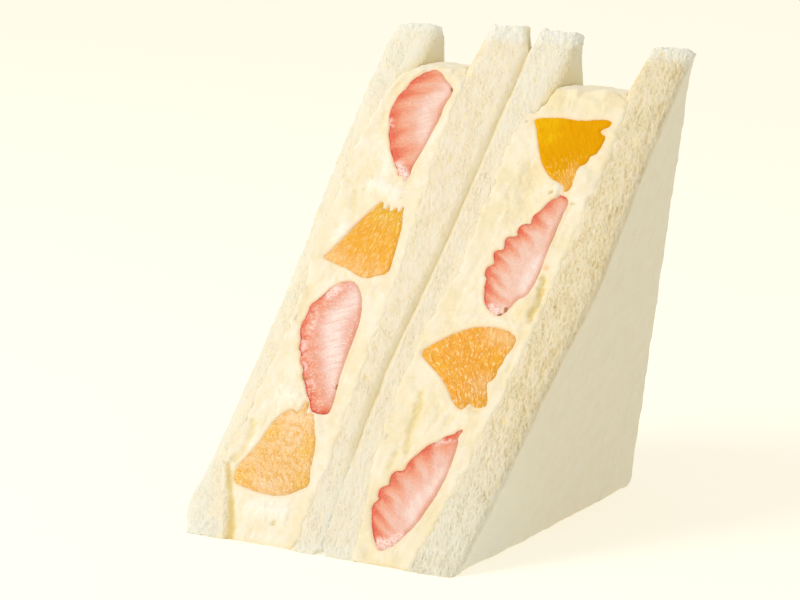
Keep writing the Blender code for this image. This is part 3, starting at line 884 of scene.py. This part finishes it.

# Mounds: the centre of each, across, up and out of the cut face, and how far it reaches each way. Strokes:
# the line of each, how far it reaches, how high it stands, and how white it is, or below 0 how olive. The
# olive of the sunken strokes is painted shade in furrows, dimples and recesses. Crumbs: where bits of peach
# stick.
CREAMS = {
    "cream_left": {
        "seed": 21, "sides": (FIRST_BORDER, SECOND_BORDER), "tone": 0.0, "crumbs": (),
        "mounds": (
            ((-20.5, 128.8, -3.6), (5.0, 2.9, 3.8)), ((-16.8, 127.5, -3.0), (3.0, 2.8, 3.2)),
            ((-23.9, 127.3, -2.8), (2.8, 2.7, 2.9)), ((-26.2, 124.6, -3.4), (2.5, 4.6, 3.2)),
        ),
        "strokes": (
            (((-27.4, 30.0), (-26.5, 27.5), (-26.2, 25.0), (-26.7, 22.0), (-27.6, 20.3)), 1.1, -0.45, -0.65),
            (((-17.5, 9.0), (-12.5, 9.2)), 3.2, 0.3, 0.9),
            (((-12.6, 6.0),), 0.7, -0.6, -0.6),
            (((-9.6, 0.6),), 1.0, -0.7, -0.7),
            (((-24.0, 95.5), (-18.5, 94.3)), 3.0, 0.3, 0.9),
            (((-27.3, 79.5), (-26.0, 83.0)), 1.6, 0.3, 0.7),
            (((-23.5, 38.5), (-20.5, 37.2)), 2.2, 0.3, 0.8),
            (((-24.8, 104.0), (-22.5, 99.5)), 1.8, 0.1, 0.6),
            (((-28.9, 124.0), (-29.4, 117.0), (-28.6, 110.0)), 0.9, -0.2, -0.5),
            (((-28.0, 66.0), (-28.2, 57.0)), 1.3, -0.2, -0.35),
            (((-27.6, 93.0), (-26.6, 89.0)), 1.0, -0.3, -0.3),
            (((-13.5, 33.0), (-11.0, 29.0)), 1.2, 0.25, 0.6),
            (((-13.2, 121.0), (-14.6, 108.0)), 1.0, 0.15, 0.3),
        ),
    },
    "cream_right": {
        "seed": 22, "sides": (THIRD_BORDER, FOURTH_BORDER), "tone": 0.10,
        "crumbs": ((23.7, 79.5), (23.9, 117.4)),
        "mounds": (
            ((12.6, 126.6, -3.2), (4.4, 2.8, 3.6)), ((20.6, 127.6, -3.2), (5.0, 2.9, 3.6)),
            ((9.5, 126.4, -2.6), (2.7, 2.9, 2.7)), ((7.6, 124.8, -3.5), (3.0, 4.8, 3.4)),
            ((6.4, 122.0, -2.6), (2.4, 3.6, 2.6)),
            ((22.9, 103.6, -0.1), (1.7, 4.0, 0.8)), ((24.3, 109.5, -0.1), (1.2, 3.2, 0.7)),
            ((24.5, 117.2, 0.0), (0.9, 0.7, 0.5)), ((22.6, 68.2, -0.2), (2.6, 3.4, 0.9)),
            ((18.2, 99.2, -0.4), (1.9, 1.6, 0.8)), ((23.8, 99.0, -0.4), (1.5, 1.9, 0.8)),
        ),
        "strokes": (
            (((5.7, 121.4), (6.5, 123.8), (7.6, 127.0)), 1.3, -0.9, -0.9),
            (((22.3, 129.6), (24.6, 129.4)), 0.8, -0.5, -0.9),
            (((11.6, 105.0), (12.0, 98.0), (13.2, 92.0)), 3.8, -0.7, -0.3),
            (((9.0, 101.0), (9.1, 90.0)), 0.7, 0.1, -0.25),
            (((17.9, 99.5),), 0.6, -0.9, -0.7),
            (((23.8, 97.2),), 0.6, -0.5, -0.6),
            (((24.0, 77.0), (24.5, 74.5), (25.2, 71.0), (25.4, 68.5), (25.0, 66.0)), 0.95, -1.0, -1.0),
            (((22.4, 67.0), (23.6, 70.0)), 2.6, -0.1, -0.45),
            (((23.2, 95.0), (23.0, 86.0)), 0.8, -0.25, -0.3),
            (((7.6, 43.6), (8.5, 40.0), (8.8, 36.5), (8.5, 34.0)), 1.0, -0.4, -0.7),
            (((9.0, 33.0), (10.0, 28.6)), 0.9, -0.3, -0.6),
            (((7.8, 28.0), (7.7, 24.0)), 0.9, -0.3, -0.5),
            (((13.2, 40.6), (13.6, 37.4)), 1.0, -0.25, -0.3),
            (((16.6, 38.6), (16.0, 37.0)), 0.9, -0.2, -0.4),
            (((20.2, 41.2), (22.6, 40.8)), 0.8, -0.25, -0.5),
            (((22.4, 31.0), (22.0, 24.0)), 1.2, 0.2, 0.5),
            (((6.5, 82.0), (6.0, 74.0)), 1.6, 0.2, 0.35),
            (((5.5, 112.0), (8.0, 104.0)), 1.5, 0.1, 0.3),
            (((9.0, 63.5), (16.0, 64.8), (22.0, 63.5)), 1.2, 0.25, 0.3),
            (((15.0, 1.0), (11.0, 2.6)), 1.6, -0.4, -0.4),
            (((8.4, 97.0), (7.0, 66.0)), 1.0, -0.15, -0.2),
            (((8.9, 95.2), (9.3, 92.6)), 0.8, -0.1, -0.5),
            (((18.6, 101.0), (19.2, 98.4)), 0.9, 0.35, 0.8),
            (((24.6, 62.0), (24.8, 48.0)), 1.0, -0.1, -0.3),
            (((10.0, 124.5), (22.0, 125.0)), 5.5, 0.0, -0.35),
        ),
    },
}


CREAM_YELLOW = (0.83, 0.73, 0.51)
CREAM_PALE = (0.86, 0.785, 0.62)
CREAM_TINTS = {
    "whiter": (0.89, 0.84, 0.73),
    # painted shade, with olive streaks
    "shade_and_streaks": (0.78, 0.63, 0.27),
    "stained": (0.87, 0.62, 0.36),
    "furrow": FURROW_SHADE,
}


def cream_material():
    """Custard cream: pale yellow, whiter or olive in streaks, painted shade in furrows, stained beside the
    fruit.
    """
    material, tree, shader = new_material("custard_cream", 0.5, 0.2, 0.5, (0.35, 0.28, 0.2))
    patches, grain = mottled(tree, along_cut(tree, (5, 9, 5)), 7.0)
    colour = mixed(tree, between(tree, patches, 0.35, 0.65), CREAM_YELLOW, CREAM_PALE)
    coat(tree, shader, tinted(tree, colour, CREAM_TINTS), grain, 0.25, 0.3)
    return material


def filled(name, fruit, mounds):
    """The cream with the fruit's pockets filled in and its mounds added, as one closed shape."""
    bm = copy_of(name)
    for node in fruit:
        plug = copy_of(node)
        plug.normal_update()
        for vert in plug.verts:
            vert.co += vert.normal * PLUG_GROWN
            vert.co.z = min(vert.co.z, 0)
        mesh = bpy.data.meshes.new("plug")
        plug.to_mesh(mesh)
        plug.free()
        bm.from_mesh(mesh)
        bpy.data.meshes.remove(mesh)
    for centre, reach in mounds:
        shape = Matrix.Translation(centre) @ Matrix.Diagonal((*reach, 1))
        bmesh.ops.create_icosphere(bm, subdivisions=3, radius=1.0, matrix=shape)
    return bm


def spread_cream(places, normals, look, on_cut, below_top):
    """Moves the cream's sides with the bread, and spreads it over the bread's edges beside the cut. Gives how
    far each place is from the rim of the spread."""
    for side, shifts in zip((-1, 1), look["sides"]):
        move_side(places, side, shifts)
    rim = np.full(len(places), np.inf)
    for side in (-1, 1):
        edge = side * (edge_of_cut(places, side) - places[:, 0])
        uneven = 0.95 + 0.3 * waves(places, 3.5, look["seed"] + side)
        fill = 0.32 + np.clip(SPREAD + places[:, 2], 0, SPREAD) * uneven
        fill *= 0.4 + 0.6 * below_top
        pushed = fill * ramp(edge, 3.0, 0.3) * ramp(side * normals[:, 0] + on_cut, 0.1, 0.7)
        places[:, 0] += side * pushed
        rim = np.minimum(rim, edge + fill - pushed)
    return rim


def nearest_fruit(places, fruit):
    """How far each place lies outside the nearest fruit, under 0 inside it, and how deep that fruit goes."""
    to_fruit, cavity = np.full(len(places), 99.0), np.zeros(len(places))
    for outline, deep in fruit:
        points = softened(outline)
        gap = distance_to(places, ring_of(points))
        gap[within(places, points)] *= -1
        nearer = gap < to_fruit
        to_fruit[nearer] = gap[nearer]
        cavity[nearer] = deep
    return to_fruit, cavity


def let_fruit_in(places, to_fruit, cavity, on_cut):
    """Closes the cream round the fruit in a low lip, and sinks it into the pocket behind the fruit's face.
    Cream that stands well above the cut covers the fruit instead."""
    covered = places[:, 2] > COVERS_FRUIT
    lip = 0.08 * ramp(np.abs(to_fruit), 1.2, 0) - 0.5 * ramp(-to_fruit, -0.4, 0.5)
    places[:, 2] += np.where(covered, 0, on_cut * lip)
    pocket = 0.5 + 0.9 * cavity * np.sqrt(np.clip(1 - (1 - np.clip(-to_fruit / 4.5, 0, 1)) ** 2, 0, 1))
    let_in = (to_fruit < -0.7) & ~covered & (on_cut > 0)
    places[let_in, 2] = np.minimum(places[let_in, 2], -pocket[let_in])


def sculpt_cream(piece, name, look, fruit):
    """Spreads the cream over the bread's edges, works its surface, lets the fruit in and keeps its tones."""
    seed = look["seed"]
    mesh = piece.data
    places, normals = places_of(mesh)
    on_cut = ramp(places[:, 2], -2.0, -0.4)
    below_top = ramp(places[:, 1], 131, 124)
    rim = spread_cream(places, normals, look, on_cut, below_top)
    if name == "cream_left":
        places[:, 0] += at_left_foot(places)
    to_fruit, cavity = nearest_fruit(places, fruit)
    height = 0.24 * waves(places, 5.5, seed) + 0.14 * waves(places, np.array([1.4, 3.0, 1.6]), seed + 3, 4)
    warp = 0.5 * waves(places, 1.2, seed + 5, 3) + 0.6 * waves(places, 3.5, seed + 6)
    drag = waves(places, np.array([0.9, 2.6, 1.0]), seed + 7, 2)
    bent = leaning(places) + 0.3 * warp[:, None]
    nicks = open_cells(bent, np.array([0.8, 2.6, 1.2]), seed + 11, 0.09) * below_top
    height = (height - 0.1 * nicks) * (0.25 + 0.75 * ramp(to_fruit, 0.2, 2.5))
    whiter = 0.5 * ramp(-drag, 0.2, 0.8)
    # Olive streaks, the right cream a little more olive, and painted shade in the nicks
    shade_and_streaks = np.maximum(0.25 * ramp(drag, 0.3, 0.8) + look["tone"], 0.45 * nicks)
    furrow = in_foot_furrow(places) if name == "cream_left" else np.zeros(len(places))
    height -= 0.5 * furrow
    # Where a stroke sinks, its olive is painted shade in the furrow, dimple or recess
    for line, reach, rise, tone in look["strokes"]:
        near = ramp(distance_to(places, line) + min(reach, 1.4) * warp, 1.3 * reach, 0)
        height += rise * near
        whiter = np.maximum(whiter, tone * near)
        shade_and_streaks = np.maximum(shade_and_streaks, -tone * near)
    inner = ramp(rim, 0.2, 2.4)
    over_bread = 0.12 * ramp(np.abs(rim - 2.0), 1.0, 0) - ramp(rim, 1.5, 0)
    places[:, 2] += on_cut * (height * (0.25 + 0.75 * inner) + below_top * over_bread)
    dome = 0.35 * waves(places, 3.6, seed + 8) + 0.1 * waves(places, 1.4, seed + 9)
    places += normals * (ramp(places[:, 1], 121, 128) * dome)[:, None]
    spread_foot(places, FOOT_EDGE + 0.3 * waves(places, 3.5, seed + 30))
    let_fruit_in(places, to_fruit, cavity, on_cut)
    stained = on_cut * ramp(to_fruit + 0.5 * warp, 1.1, 0.1)
    crumbs = np.zeros(len(places))
    for spot in look["crumbs"]:
        crumbs = np.maximum(crumbs, ramp(distance_to(places, [spot]) + 0.3 * warp, 0.9, 0.4))
    put(mesh, places)
    keep_on(mesh, "whiter", np.clip(whiter, 0, 1) * on_cut)
    keep_on(mesh, "shade_and_streaks", np.clip(shade_and_streaks, 0, 1) * on_cut)
    keep_on(mesh, "stained", np.maximum(0.35 * stained, crumbs))
    # Painted shade in the furrow beside the first slice's foot
    keep_on(mesh, "furrow", furrow * on_cut)


cream = cream_material()
OUTLINES = {name: (berry["skin"] + berry["flat"], berry["deep"]) for name, berry in BERRIES.items()}
OUTLINES.update({name: (peach["outline"], PEACH_DEEP) for name, peach in PEACHES.items()})
for name, look in CREAMS.items():
    side = "_left_" if name == "cream_left" else "_right_"
    fruit = [node for node in OUTLINES if side in node]
    filling = evenly_netted(name + "_custard", filled(name, fruit, look["mounds"]), CREAM_NET, at_cut=1.5)
    sculpt_cream(filling, name, look, [OUTLINES[node] for node in fruit])
    back_in_place(filling, cream, name)


# Studio: a plain pale floor, a broad soft light from the front left, a bright sky all round, and a camera at
# the photograph's angle.
FLOOR_REACH = 4.0
bm = bmesh.new()
bmesh.ops.create_grid(bm, x_segments=1, y_segments=1, size=FLOOR_REACH)
floor_mesh = bpy.data.meshes.new("floor")
bm.to_mesh(floor_mesh)
bm.free()
floor = bpy.data.objects.new("floor", floor_mesh)
bpy.context.scene.collection.objects.link(floor)
paper, _, paper_shader = new_material("pale_paper", 0.9, 0.0, 0.0, (1, 1, 1))
paper_shader.inputs["Base Color"].default_value = (0.52, 0.49, 0.41, 1)
paper_shader.inputs["Emission Color"].default_value = (1.0, 0.955, 0.82, 1)
paper_shader.inputs["Emission Strength"].default_value = 0.61
floor_mesh.materials.append(paper)

world = bpy.data.worlds.new("soft sky")
world.use_nodes = True
world.node_tree.nodes["Background"].inputs["Color"].default_value = (1.0, 0.985, 0.96, 1)
world.node_tree.nodes["Background"].inputs["Strength"].default_value = 0.72
bpy.context.scene.world = world

KEY_PLACE = Vector((-0.5, -0.55, 0.75))
KEY_AIM = Vector((0, 0, 0.05))
light = bpy.data.lights.new("key", "AREA")
light.size = 0.4
light.energy = 5.0
light.color = (1.0, 0.99, 0.97)
key = bpy.data.objects.new("key", light)
key.location = KEY_PLACE
key.rotation_euler = (KEY_AIM - KEY_PLACE).to_track_quat("-Z", "Y").to_euler()
bpy.context.scene.collection.objects.link(key)

AZIMUTH, ELEVATION, ROLL = 25.82, 10.76, 2.98
DISTANCE = 0.8737
TARGET = Vector((0.0028, -0.0235, 0.0506))
LENS = 185.6
SENSOR = 36.0
camera = bpy.data.objects.new("camera", bpy.data.cameras.new("camera"))
turn = Euler((math.radians(90 - ELEVATION), 0, math.radians(AZIMUTH))).to_matrix().to_4x4()
turn = turn @ Matrix.Rotation(math.radians(ROLL), 4, "Z")
camera.matrix_world = Matrix.Translation(TARGET) @ turn @ Matrix.Translation((0, 0, DISTANCE))
camera.data.lens = LENS
camera.data.sensor_width = SENSOR
camera.data.clip_start = 0.01
bpy.context.scene.collection.objects.link(camera)
bpy.context.scene.camera = camera
bpy.context.scene.view_settings.view_transform = "Standard"
